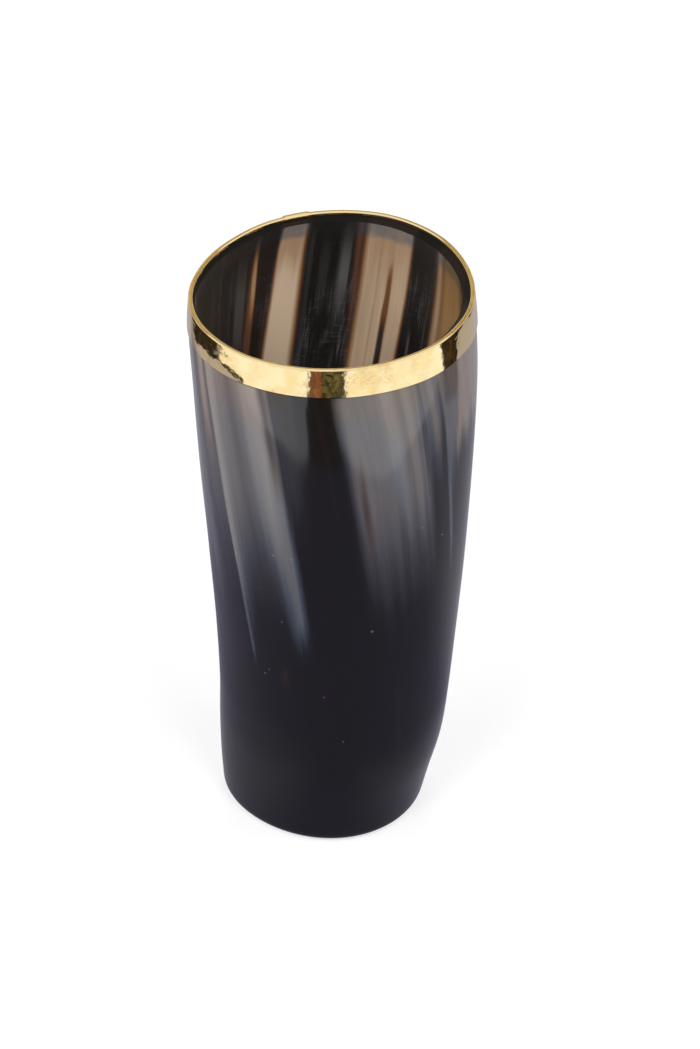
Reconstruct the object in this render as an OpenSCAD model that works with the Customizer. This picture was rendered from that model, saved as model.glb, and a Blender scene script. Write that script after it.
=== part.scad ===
// Horn drinking cup with a folded brass collar.
// A length of natural horn, wide at the mouth, stands on its cut and rounded tip end.
// A flat disc closes the foot, and a strip of sheet brass is folded over the lip.
// Origin: middle of the foot, on the table. +Z runs up to the mouth, -Y is the front.

/* [Horn] */
// Height of the horn from the table to its lip
cup_h = 152; // [110:1:200]
// Mean outer diameter of the horn at the mouth
mouth_d = 69.2; // [60:0.1:90]
// Mean outer diameter of the horn at the foot
foot_d = 50.3; // [40:0.1:58]
// Mean thickness of the wall near the mouth
wall_t = 2.2; // [2:0.1:4]
// Thickness of the wall at the foot, where it is greatest
foot_wall_t = 4; // [3:0.1:6]
// Radius of the foot's rounded outer edge
foot_round = 2.7; // [0.5:0.1:3]
// Turn of the horn's natural twist between foot and mouth, in degrees
twist = 88; // [0:1:120]
// How far the middle of the horn stands to the right of the middle of its foot
lean = 3.2; // [0:0.1:6]
// How far the bore is off centre at the mouth, where one side of the wall is thicker
bore_shift = 0.9; // [0:0.05:0.9]
// Direction of the wall's thicker side, in degrees from the right, counted from above
thick_dir = 40; // [0:1:359]

/* [Lip] */
// Thickness of the horn at the lip, under the brass
lip_t = 0.6; // [0.5:0.05:1]
// Radius of the lip's two rounded edges
lip_round = 0.15; // [0.1:0.05:0.4]
// Height of the upright land inside the lip
land_h = 0.6; // [0.5:0.1:2.4]
// Height of the bevel between the land and the full wall
bevel_h = 0.8; // [0.6:0.1:4]

/* [Collar] */
// Height of the collar's outer leg
collar_h = 7.4; // [5:0.1:14]
// Thickness of the sheet brass
sheet_t = 0.2; // [0.15:0.01:0.4]
// Thickness of the adhesive between horn and brass
bond_t = 0.1; // [0.05:0.01:0.2]
// Thickness of the solder in the lap
solder_t = 0.06; // [0.04:0.01:0.1]
// Length of the lap where the strip's end lies over its start
lap_l = 6; // [3:0.1:10]
// Length of the joggle that lifts the strip's end on to its start
joggle_l = 1.2; // [0.6:0.1:3]
// Direction in which the strip starts, in degrees from the right, counted from above
lap_dir = 101; // [0:1:359]

/* [Foot disc] */
// Thickness of the disc that closes the foot
disc_t = 5; // [3:0.1:8]
// Thickness of the resin around the disc
seal_t = 0.15; // [0.1:0.01:0.3]
// Width of the resin bead on top of the disc
bead_w = 1.6; // [0.8:0.1:3]
// Height of the resin bead against the horn
bead_h = 1.8; // [0.8:0.1:3]

/* [Hidden] */
// Stations that shape the horn, as shares of its height
station_shares = [0, 0.07, 0.14, 0.22, 0.34, 0.5, 0.68, 0.85, 0.95, 1];
// Radius at each station, as a share of the way from the foot's to the mouth's
flare_shares = [0, 0.178, 0.346, 0.44, 0.585, 0.803, 0.994, 1.087, 1.072, 1];
// Lean at each station, as a share of the full lean
lean_shares = [0, 0.28, 0.65, 0.88, 0.98, 0.99, 0.98, 1, 0.88, 0.87];
// Natural horn isn't round: its radius swells twice and three times round, by these shares
oval_share = 0.0272;
lobe_share = 0.0128;
oval_dir = 62;
lobe_dir = 80;
// The foot's rounding takes at most this share of the wall's thickness there
foot_round_share = 0.7;
// The lip's rounding takes at most this share of the lip's thickness
lip_round_share = 0.45;
// The bead's hollow face lies at this share of the way from its corner to its straight line
bead_hollow_share = 0.6;
// How fast the wall thickens towards the foot
wall_power = 2;

mouth_r = mouth_d / 2;
foot_r = foot_d / 2;
foot_edge = min(foot_round, foot_wall_t * foot_round_share);
lip_edge = min(lip_round, lip_t * lip_round_share);
collar_z = cup_h - collar_h;
land_z = cup_h - land_h;
bevel_z = land_z - bevel_h;
bead_z = disc_t + bead_h;
disc_edge = foot_wall_t + seal_t;
// Distances of the strip's two layers from the horn
brass_out = bond_t + sheet_t;
lap_in = brass_out + solder_t;
lap_out = lap_in + sheet_t;
// The lap and the joggle as angles around the mouth
lap_a = lap_l / mouth_r * 180 / PI;
joggle_a = joggle_l / mouth_r * 180 / PI;

around = 68;
outer_steps = 19;
inner_steps = 16;
leg_steps = 3;
arc_steps = 3;

// Directions of the sections around the horn, counted from the start of the strip
turns = concat([0], [for (i = [0 : around])
    lap_a + (360 - joggle_a - lap_a) * i / around]);

// Smooth curve through the values that a table gives at the stations
function slope(y, i) =
    let (a = max(i - 1, 0), b = min(i + 1, len(y) - 1))
    (y[b] - y[a]) / (station_shares[b] - station_shares[a]);
function along(y, share) =
    let (
        i = max([for (k = [0 : len(y) - 2]) if (station_shares[k] <= share) k]),
        step = station_shares[i + 1] - station_shares[i],
        t = (share - station_shares[i]) / step,
        u = 1 - t
    )
    u * u * (1 + 2 * t) * y[i] + t * t * (1 + 2 * u) * y[i + 1]
        + t * u * step * (u * slope(y, i) - t * slope(y, i + 1));

// Outer radius of the horn in a direction, at a share of its height
function mean_r(share) = foot_r + (mouth_r - foot_r) * along(flare_shares, share);
function outline_r(dir, share) =
    let (d = dir - twist * (1 - share))
    mean_r(share)
        * (1 + oval_share * cos(2 * (d - oval_dir)) + lobe_share * cos(3 * (d - lobe_dir)));

// Mean thickness of the wall at a height
function wall(z) = wall_t + (foot_wall_t - wall_t) * pow(1 - z / cup_h, wall_power);

// A point of a section is [height whose outline it follows, distance inside it, own height].
// A point of the bore has a fourth value: the share of the bore's shift that it takes.
function place(dir, p) =
    let (
        share = p[0] / cup_h,
        shift = len(p) > 3 ? bore_shift * p[3] * cos(dir - thick_dir) : 0,
        r = outline_r(dir, share) - p[1] - shift
    )
    [lean * along(lean_shares, share) + r * cos(dir), r * sin(dir), p[2]];
function bore_point(z) = [z, wall(z), z, z / cup_h];

function backwards(list) = [for (i = [len(list) - 1 : -1 : 0]) list[i]];

// The path of a fold over the lip, at a distance from the horn: from the foot of its outer
// leg, over the two rounded edges, down to the foot of its inner leg
function fold(out) =
    let (r = lip_edge + out, z = cup_h - lip_edge)
    concat(
        [for (i = [0 : leg_steps]) let (h = collar_z + (z - collar_z) * i / (leg_steps + 1))
            [h, -out, h]],
        [for (i = [0 : arc_steps]) let (a = 90 * i / arc_steps)
            [cup_h, lip_edge - r * cos(a), z + r * sin(a)]],
        [for (i = [arc_steps : -1 : 0]) let (a = 90 * i / arc_steps)
            [cup_h, lip_t - lip_edge + r * cos(a), z + r * sin(a)]],
        [[cup_h, lip_t + out, land_z]]
    );
function layer(inner, outer) = concat(fold(outer), backwards(fold(inner)));

// Faces between neighbouring sections. Each four-sided patch is cut the same way on two
// pieces that touch: the cut starts at its lower side, or at its outer side if it is level.
function rises(p, q) = p[2] != q[2] ? q[2] > p[2] : q[1] > p[1];
function patch(a, b, c, d, up) = up ? [[a, b, c], [a, c, d]] : [[a, b, d], [b, c, d]];
function sides(sections, closed) =
    let (n = len(sections[0]), m = len(sections))
    [for (i = [0 : closed ? m - 1 : m - 2], j = [0 : n - 1])
        let (i2 = (i + 1) % m, j2 = (j + 1) % n)
        each patch(i * n + j, i * n + j2, i2 * n + j2, i2 * n + j,
            rises(sections[i][j], sections[i][j2]))];

// The flat end of a layer, whose points start at a number
function end_face(first, n) =
    [for (j = [0 : n / 2 - 2]) each patch(
        first + j, first + j + 1, first + n - 2 - j, first + n - 1 - j, true)];

// A ring that follows the horn all the way round with one section
module ring(section) {
    sections = [for (t = turns) section];
    polyhedron(
        [for (t = turns, p = section) place(lap_dir + t, p)],
        sides(sections, true), convexity = 8);
}

// A strip of sheet that follows the lip through some turns, a section at each
module strip(strip_turns, sections) {
    n = len(sections[0]);
    last = n * (len(sections) - 1);
    polyhedron(
        [for (i = [0 : len(sections) - 1], p = sections[i])
            place(lap_dir + strip_turns[i], p)],
        concat(
            sides(sections, false),
            [for (f = end_face(0, n)) backwards(f)],
            end_face(last, n)
        ), convexity = 8);
}

// The tube of horn: rounded foot, outer wall, lip, land, bevel, inner wall and disc seat
module horn_body() {
    foot = [for (i = [0 : arc_steps])
        let (a = 90 * i / arc_steps, z = foot_edge * (1 - cos(a)))
        [z, foot_edge * (1 - sin(a)), z]];
    outside = [for (i = [1 : outer_steps - 1])
        let (z = foot_edge + (collar_z - foot_edge) * i / outer_steps) [z, 0, z]];
    inside = [for (i = [0 : inner_steps])
        bore_point(bevel_z - (bevel_z - bead_z) * i / inner_steps)];
    seat = [[0, foot_wall_t, disc_t], [0, foot_wall_t, 0]];
    color("#2a2528") ring(concat(foot, outside, fold(0), inside, seat));
}

// The flat disc of dark horn, cut to the seat less the resin around it
module base_disc() {
    color("#1e1b1d") linear_extrude(height = disc_t)
        polygon([for (t = turns)
            let (p = place(lap_dir + t, [0, disc_edge, 0])) [p[0], p[1]]]);
}

// The resin that holds the disc: a film around its edge and a hollow bead on top
module base_seal() {
    // The bead's face runs from the disc up to the horn, both measured from the foot's outline
    bead_in = disc_edge + bead_w;
    bead_out = wall(bead_z) + foot_r - mean_r(bead_z / cup_h);
    hollow_in = disc_edge + (bead_in + bead_out - 2 * disc_edge) / 2 * bead_hollow_share;
    hollow_z = disc_t + bead_h / 2 * bead_hollow_share;
    color("#3a2f26") ring([
        [0, disc_edge, 0],
        [0, foot_wall_t, 0],
        [0, foot_wall_t, disc_t],
        bore_point(bead_z),
        [0, hollow_in, hollow_z],
        [0, bead_in, disc_t],
        [0, disc_edge, disc_t]
    ]);
}

// The adhesive between the horn and the brass
module rim_bond() {
    color("#b8a06a") ring(layer(0, bond_t));
}

// The strip of brass: once round the lip, then up its joggle and over its own start
module rim_band() {
    color("#c9a13b") strip(
        concat(turns, [360, 360 + lap_a]),
        concat(
            [for (t = turns) layer(bond_t, brass_out)],
            [for (k = [0 : 1]) layer(lap_in, lap_out)]
        ));
}

// The solder between the two layers of the lap
module rim_solder() {
    color("#d8c98a") strip([0, lap_a], [for (k = [0 : 1]) layer(brass_out, lap_in)]);
}

horn_body();
base_disc();
base_seal();
rim_bond();
rim_band();
rim_solder();
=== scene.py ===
import math
from collections import namedtuple

import bpy
import numpy as np
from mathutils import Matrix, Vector

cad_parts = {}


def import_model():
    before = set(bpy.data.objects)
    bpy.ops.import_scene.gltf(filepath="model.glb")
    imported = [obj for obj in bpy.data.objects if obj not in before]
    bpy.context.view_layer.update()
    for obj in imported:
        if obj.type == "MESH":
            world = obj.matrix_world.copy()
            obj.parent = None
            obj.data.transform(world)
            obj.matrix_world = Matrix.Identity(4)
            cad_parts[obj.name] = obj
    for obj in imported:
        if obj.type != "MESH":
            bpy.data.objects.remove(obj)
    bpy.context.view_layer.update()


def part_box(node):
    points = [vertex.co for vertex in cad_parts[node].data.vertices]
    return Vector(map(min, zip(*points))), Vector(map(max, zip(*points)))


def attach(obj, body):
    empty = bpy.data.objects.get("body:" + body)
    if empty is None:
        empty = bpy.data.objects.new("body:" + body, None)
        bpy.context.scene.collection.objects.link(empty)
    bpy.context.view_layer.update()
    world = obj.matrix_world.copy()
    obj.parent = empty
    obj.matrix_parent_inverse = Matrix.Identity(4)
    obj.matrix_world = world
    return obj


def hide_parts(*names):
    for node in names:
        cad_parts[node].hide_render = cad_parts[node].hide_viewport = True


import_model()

# Horn drinking cup with a folded brass collar. The finer pieces below follow the same
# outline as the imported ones. They leave it by less than a millimetre: at the hand-filed
# mouth, on the wall's gentle flats, in the brass's dents and at the collar's lower edge.

# Lengths are in millimetres until a mesh is made
MM = 0.001

# Heights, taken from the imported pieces
CUP_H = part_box("horn_body")[1].z / MM
COLLAR_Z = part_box("rim_band")[0].z / MM
DISC_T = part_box("base_disc")[1].z / MM
BEAD_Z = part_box("base_seal")[1].z / MM

# The horn. Its bore is off centre at the mouth, so that one side of the wall is thicker
MOUTH_R = 34.6
FOOT_R = 25.15
WALL_T = 2.2
FOOT_WALL_T = 4
FOOT_ROUND = 2.7
BORE_SHIFT = 0.9
THICK_DIR = 40
TWIST = 88
LEAN = 3.2
LIP_T = 0.6
LIP_ROUND = 0.15
LAND_H = 0.6
BEVEL_H = 0.8
LAND_Z = CUP_H - LAND_H
BEVEL_Z = LAND_Z - BEVEL_H

# The horn's shape: shares of its height, of its flare and of its lean
STATIONS = np.array([0, 0.07, 0.14, 0.22, 0.34, 0.5, 0.68, 0.85, 0.95, 1])
FLARE = np.array([0, 0.178, 0.346, 0.44, 0.585, 0.803, 0.994, 1.087, 1.072, 1])
LEANING = np.array([0, 0.28, 0.65, 0.88, 0.98, 0.99, 0.98, 1, 0.88, 0.87])
OVAL = 0.0272
OVAL_DIR = 62
LOBE = 0.0128
LOBE_DIR = 80

# Gentle flats of the outer wall: their depth, the height at which they begin, and how far
# they take to set in above the foot and below the collar
RIPPLE = 0.05
RIPPLE_Z = 2.4
RIPPLE_FOOT_FADE = 8
RIPPLE_TOP_FADE = 6

# Unevenness of the hand-filed mouth: how often it swells round it, by how much, and where
MOUTH_WAVES = [(4, 0.06, 66), (5, 0.07, 53), (6, 0.05, 60), (9, 0.04, 33), (13, 0.03, 12)]
WAVES_FROM = 0.86

# The collar, its adhesive and its lap. Distances from the horn end in _OUT or _IN, and
# angles round the mouth in _A
SHEET_T = 0.2
BOND_T = 0.1
SOLDER_T = 0.06
BRASS_OUT = BOND_T + SHEET_T
LAP_IN = BRASS_OUT + SOLDER_T
LAP_LENGTH = 6
JOGGLE_LENGTH = 1.2
LAP_A = math.degrees(LAP_LENGTH / MOUTH_R)
JOGGLE_A = math.degrees(JOGGLE_LENGTH / MOUTH_R)
LAP_DIR = 101
DENT = 0.02

# The collar's lower edge as it was trimmed: its tilt, its sag on two sides, how far it lies
# lower all round, and its unevenness
TILT = 0.35
TILT_DIR = 245
SAG = 0.2
SAG_DIR = 262
LOWERED = 0.15
SNIPPED = 0.08

# The foot disc and the resin round it
SEAL_T = 0.15
DISC_EDGE = FOOT_WALL_T + SEAL_T
BEAD_W = 1.6
HOLLOW_SHARE = 0.6

# The grain winds round the horn by this many degrees, at a depth of one millimetre below
# the lip, and winds less for each further millimetre
GRAIN_TURN = 0.26
GRAIN_SLACK = 0.0005

# Directions on the horn run from here through a whole turn
FIRST_DIR = -25

# Rows and steps of the meshes along their sections, and sections round the mouth
OUTSIDE_ROWS = 112
INSIDE_ROWS = 96
LEG_ROWS = 9
LIP_STEPS = 6
FOOT_STEPS = 6
BEAD_STEPS = 8
DISC_RINGS = 14
LAP_SECTIONS = 9
RING_SECTIONS = 253
JOGGLE_SECTIONS = 6

# Edges that bend by more degrees than this are sharp
SHARP_ANGLE = 32

# Name of the map that each piece carries
MAP = "grain"

# Places of the horn's finishes in its list of materials
OUTSIDE = 0
INSIDE = 1
CUT = 2


# Shape of the horn

def along(values, share):
    """Smooth curve through the values that a table gives at the stations."""
    slope = np.gradient(values) / np.gradient(STATIONS)
    i = np.clip(np.searchsorted(STATIONS, share, side="right") - 1, 0, len(values) - 2)
    step = STATIONS[i + 1] - STATIONS[i]
    t = (share - STATIONS[i]) / step
    u = 1 - t
    ends = u * u * (1 + 2 * t) * values[i] + t * t * (1 + 2 * u) * values[i + 1]
    return ends + t * u * step * (u * slope[i] - t * slope[i + 1])


def mean_radius(share):
    return FOOT_R + (MOUTH_R - FOOT_R) * along(FLARE, share)


def outline(direction, share):
    """Outer radius of the horn in a direction, at a share of its height."""
    turned = np.radians(direction - TWIST * (1 - share))
    oval = OVAL * np.cos(2 * (turned - math.radians(OVAL_DIR)))
    lobe = LOBE * np.cos(3 * (turned - math.radians(LOBE_DIR)))
    uneven = sum(size * np.cos(np.radians(k * (direction - at))) for k, size, at in MOUTH_WAVES)
    near_mouth = np.clip((share - WAVES_FROM) / (1 - WAVES_FROM), 0, 1)
    return mean_radius(share) * (1 + oval + lobe) + uneven * near_mouth


def wall(height):
    return WALL_T + (FOOT_WALL_T - WALL_T) * (1 - height / CUP_H) ** 2


def grain(height):
    """How far the grain has turned at a height, in degrees."""
    depth = CUP_H - height
    return GRAIN_TURN * depth - GRAIN_SLACK * depth * depth


def place(direction, follow, inset, height, bore=0):
    """Point in a direction, at an inset from the outline that the horn has at follow. bore is
    the share of the bore's shift that the point takes."""
    share = follow / CUP_H
    shift = BORE_SHIFT * bore * np.cos(np.radians(direction - THICK_DIR))
    radius = outline(direction, share) - inset - shift
    angle = np.radians(direction)
    across = LEAN * along(LEANING, share) + radius * np.cos(angle)
    return np.stack([across, radius * np.sin(angle), height + 0 * radius], axis=-1)


def waves(direction, height, count, finest, seed):
    """Gentle unevenness between -1 and 1 that closes on itself after a whole turn."""
    rng = np.random.default_rng(seed)
    total = np.zeros(np.broadcast(direction, height).shape)
    for _ in range(count):
        around = rng.integers(1, finest)
        upwards = rng.uniform(-1, 1) * finest / MOUTH_R
        phase = rng.uniform(0, 2 * math.pi)
        total += np.sin(around * np.radians(direction) + upwards * height + phase)
    return total / count


# Paths of the sections. A point of a path is (height whose outline it follows, inset, height,
# share of the bore's shift)

def path(follow, inset, height, bore=0):
    return np.stack(np.broadcast_arrays(follow, inset, height, bore), axis=-1)


def arc(centre_inset, centre_z, radius, falling):
    """Quarter turn over the lip, which rises to the top or falls inwards from it."""
    turn = np.linspace(0, math.pi / 2, LIP_STEPS + 1)
    if falling:
        turn = turn[::-1]
    side = 1 if falling else -1
    inset = centre_inset + side * radius * np.cos(turn)
    return path(CUP_H, inset, centre_z + radius * np.sin(turn))


def fold(out):
    """Path over the lip, at a distance from the horn, from the collar's outer foot inwards."""
    radius = LIP_ROUND + out
    middle = CUP_H - LIP_ROUND
    return np.concatenate([
        rows(COLLAR_Z, middle, LEG_ROWS, -out)[:-1],
        arc(LIP_ROUND, middle, radius, falling=False),
        arc(LIP_T - LIP_ROUND, middle, radius, falling=True),
        path([CUP_H], LIP_T + out, LAND_Z),
    ])


def layer(inner, outer):
    """Section of a sheet that lies between two distances from the horn."""
    return np.concatenate([fold(outer), fold(inner)[::-1]])


def rows(first, last, count, inset):
    """Even steps up or down the outer wall, at an inset."""
    height = np.linspace(first, last, count)
    return path(height, inset, height)


def bore_rows(first, last, count):
    """Even steps down the inner wall."""
    height = np.linspace(first, last, count)
    return path(height, wall(height), height, height / CUP_H)


# Turns of the sections from the lap's start: close together over the lap, then even, then up
# the joggle
LAP_TURNS = np.linspace(0, LAP_A, LAP_SECTIONS)
RING_TURNS = np.linspace(LAP_A, 360 - JOGGLE_A, RING_SECTIONS)
JOGGLE_TURNS = np.linspace(360 - JOGGLE_A, 360, JOGGLE_SECTIONS)
ALL_TURNS = np.concatenate([LAP_TURNS[:-1], RING_TURNS, JOGGLE_TURNS[1:-1]])


# Meshes

def sweep(name, turns, sections, closed, mapping, shift=None):
    """Skin through one closed section at each turn. Its map gives each corner's direction
    and place on the path, as mapping works them out. shift moves points outwards."""
    turns = np.asarray(turns)
    sections = np.broadcast_to(sections, (len(turns), *np.shape(sections)[-2:]))
    direction = LAP_DIR + turns[:, None]
    follow, inset, height, bore = (sections[..., k] for k in range(4))
    if shift is not None:
        inset = inset - shift(direction, sections)
    points = place(direction, follow, inset, height, bore) * MM
    m, n = inset.shape
    spans = m if closed else m - 1
    i = np.repeat(np.arange(spans), n)
    j = np.tile(np.arange(n), spans)
    next_i = (i + 1) % m
    next_j = (j + 1) % n
    corners = [(i, j), (next_i, j), (next_i, next_j), (i, next_j)]
    faces = np.stack([a * n + b for a, b in corners], axis=-1).tolist()
    # The last span's far corners lie a whole turn on, so that the map never runs backwards
    whole = 360 * (i + 1 == m)
    lies = [turns[i], turns[next_i] + whole, turns[next_i] + whole, turns[i]]
    steps = [j, j, j + 1, j + 1]
    uv = [mapping(LAP_DIR + t, height[a, b], s) for t, (a, b), s in zip(lies, corners, steps)]
    uv = np.stack([np.stack(np.broadcast_arrays(*c), axis=-1) for c in uv], axis=1)
    uv = uv.reshape(-1, 2)
    if not closed:
        for first, order in ((0, 1), ((m - 1) * n, -1)):
            face = [first + k for k in range(n)][::order]
            faces.append(face)
            uv = np.concatenate([uv, np.zeros((n, 2))])
    piece = make_piece(name, points.reshape(-1, 3), faces)
    piece.data.uv_layers.new(name=MAP).data.foreach_set("uv", uv.astype(np.float32).ravel())
    return piece


def new_object(name, data):
    made = bpy.data.objects.new(name, data)
    bpy.context.scene.collection.objects.link(made)
    return made


def make_piece(name, points, faces):
    """Mesh piece with smooth faces and sharp edges."""
    mesh = bpy.data.meshes.new(name)
    mesh.from_pydata([tuple(p) for p in points], [], faces)
    mesh.shade_smooth()
    mesh.set_sharp_from_angle(angle=math.radians(SHARP_ANGLE))
    return new_object(name, mesh)


def grain_map(direction, height, step):
    """Across the grain as a share of a turn, and up the horn as a share of its height."""
    return (direction - grain(height)) / 360, height / CUP_H


def strip_map(direction, height, step):
    """Along a strip as a share of a turn, and across it by the step of its section."""
    return direction / 360, step / 100


def horn_tube():
    """The tube of horn: rounded foot, outer wall, lip, land, bevel, inner wall and disc seat."""
    turn = np.linspace(0, math.pi / 2, FOOT_STEPS + 1)
    rise = FOOT_ROUND * (1 - np.cos(turn))
    foot = path(rise, FOOT_ROUND * (1 - np.sin(turn)), rise)
    outside = rows(FOOT_ROUND, COLLAR_Z, OUTSIDE_ROWS, 0)[1:-1]
    lip = fold(0)
    inside = bore_rows(BEVEL_Z, BEAD_Z, INSIDE_ROWS)
    seat = path(0, FOOT_WALL_T, np.array([DISC_T, 0]))
    section = np.concatenate([foot, outside, lip, inside, seat])

    def uneven(direction, sections):
        """Polished by hand: gentle flats on the outer wall, between the foot and the collar."""
        height = sections[..., 2]
        below_collar = np.clip((COLLAR_Z - height) / RIPPLE_TOP_FADE, 0, 1)
        above_foot = np.clip((height - RIPPLE_Z) / RIPPLE_FOOT_FADE, 0, 1)
        flats = RIPPLE * waves(direction, height, count=9, finest=9, seed=3)
        outer = sections[..., 1] < LIP_T / 2
        return np.where(outer, flats * below_collar * above_foot, 0)

    piece = sweep("horn_tube", ALL_TURNS, section, True, grain_map, uneven)
    finishes = np.full(len(section), CUT)
    finishes[:len(foot) + len(outside)] = OUTSIDE
    first_inside = len(foot) + len(outside) + len(lip)
    finishes[first_inside:first_inside + len(inside) - 1] = INSIDE
    piece.data.polygons.foreach_set("material_index", np.tile(finishes, len(ALL_TURNS)))
    return piece


def foot_disc():
    """The disc that closes the foot, in rings from the middle of each face to its edge."""
    shares = np.linspace(0, 1, DISC_RINGS + 1)[1:]
    edge = place(LAP_DIR + ALL_TURNS, 0, DISC_EDGE, 0)
    rings = [edge * s for s in shares] + [edge * s + (0, 0, DISC_T) for s in shares[::-1]]
    m, n = len(rings), len(ALL_TURNS)
    points = np.concatenate([np.concatenate(rings), [[0, 0, 0], [0, 0, DISC_T]]]) * MM
    faces = []
    for i in range(n):
        k = (i + 1) % n
        faces += [[r * n + i, r * n + k, (r + 1) * n + k, (r + 1) * n + i] for r in range(m - 1)]
        faces.append([m * n, k, i])
        faces.append([m * n + 1, (m - 1) * n + i, (m - 1) * n + k])
    return make_piece("foot_disc", points, faces)


def resin_bead():
    """The resin: a film round the disc's edge and a hollow bead on top of it."""
    bead_in = DISC_EDGE + BEAD_W
    bead_out = wall(BEAD_Z) + FOOT_R - mean_radius(BEAD_Z / CUP_H)
    hollow_in = DISC_EDGE + (bead_in + bead_out - 2 * DISC_EDGE) / 2 * HOLLOW_SHARE
    hollow_z = DISC_T + (BEAD_Z - DISC_T) / 2 * HOLLOW_SHARE
    # The face is a curve that passes through its hollow point half way along
    t = np.linspace(0, 1, BEAD_STEPS + 1)[1:-1]
    bend_in = 2 * hollow_in - (bead_in + bead_out) / 2
    bend_z = 2 * hollow_z - (BEAD_Z + DISC_T) / 2
    face_in = (1 - t) ** 2 * bead_out + 2 * t * (1 - t) * bend_in + t ** 2 * bead_in
    face_z = (1 - t) ** 2 * BEAD_Z + 2 * t * (1 - t) * bend_z + t ** 2 * DISC_T
    film = [DISC_EDGE, FOOT_WALL_T, FOOT_WALL_T]
    section = np.concatenate([
        path(0, film, [0, 0, DISC_T]),
        bore_rows(BEAD_Z, BEAD_Z, 1),
        path(0, face_in, face_z),
        path(0, [bead_in, DISC_EDGE], DISC_T),
    ])
    return sweep("resin_bead", ALL_TURNS, section, True, strip_map)


def trim_foot(sections, turns):
    """The outer leg's foot was trimmed with snips: it tilts and isn't quite even."""
    direction = LAP_DIR + turns
    tilt = TILT * np.cos(np.radians(direction - TILT_DIR))
    sag = SAG * np.cos(np.radians(2 * (direction - SAG_DIR)))
    trim = tilt + sag - LOWERED + SNIPPED * waves(direction, 0, count=8, finest=16, seed=8)
    for k in (0, -1):
        sections[:, k, 0] += trim
        sections[:, k, 2] += trim


def collar_bond():
    """The film of adhesive between the horn and the brass."""
    sections = np.array([layer(0, BOND_T) for _ in ALL_TURNS])
    trim_foot(sections, ALL_TURNS)
    return sweep("collar_bond", ALL_TURNS, sections, True, strip_map)


def brass_collar():
    """The strip of brass: once round the lip, up its joggle and over its own start."""
    turns = np.concatenate([LAP_TURNS[:-1], RING_TURNS, JOGGLE_TURNS[1:], 360 + LAP_TURNS[1:]])
    t = np.clip((turns - RING_TURNS[-1]) / JOGGLE_A, 0, 1)
    lift = (LAP_IN - BOND_T) * t * t * (3 - 2 * t)
    sections = np.array([layer(BOND_T + up, BRASS_OUT + up) for up in lift])

    def uneven(direction, sections):
        """Slight dents in the outer face of the outer leg."""
        outer_face = np.arange(sections.shape[1]) < LEG_ROWS
        dents = DENT * waves(direction, sections[..., 2], count=12, finest=40, seed=5)
        return np.where(outer_face, dents, 0)

    trim_foot(sections, turns)
    return sweep("brass_collar", turns, sections, False, strip_map, uneven)


def lap_solder():
    """The solder between the two layers of the lap."""
    sections = layer(BRASS_OUT, LAP_IN)
    return sweep("lap_solder", LAP_TURNS, sections, False, strip_map)


# Shader nodes

# Share to which the grain's length counts, so that fibres are drawn out along it
FIBRE_DRAW = 0.035

# A start above the mouth, for a streak that reaches the lip
NO_START = 999


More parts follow.
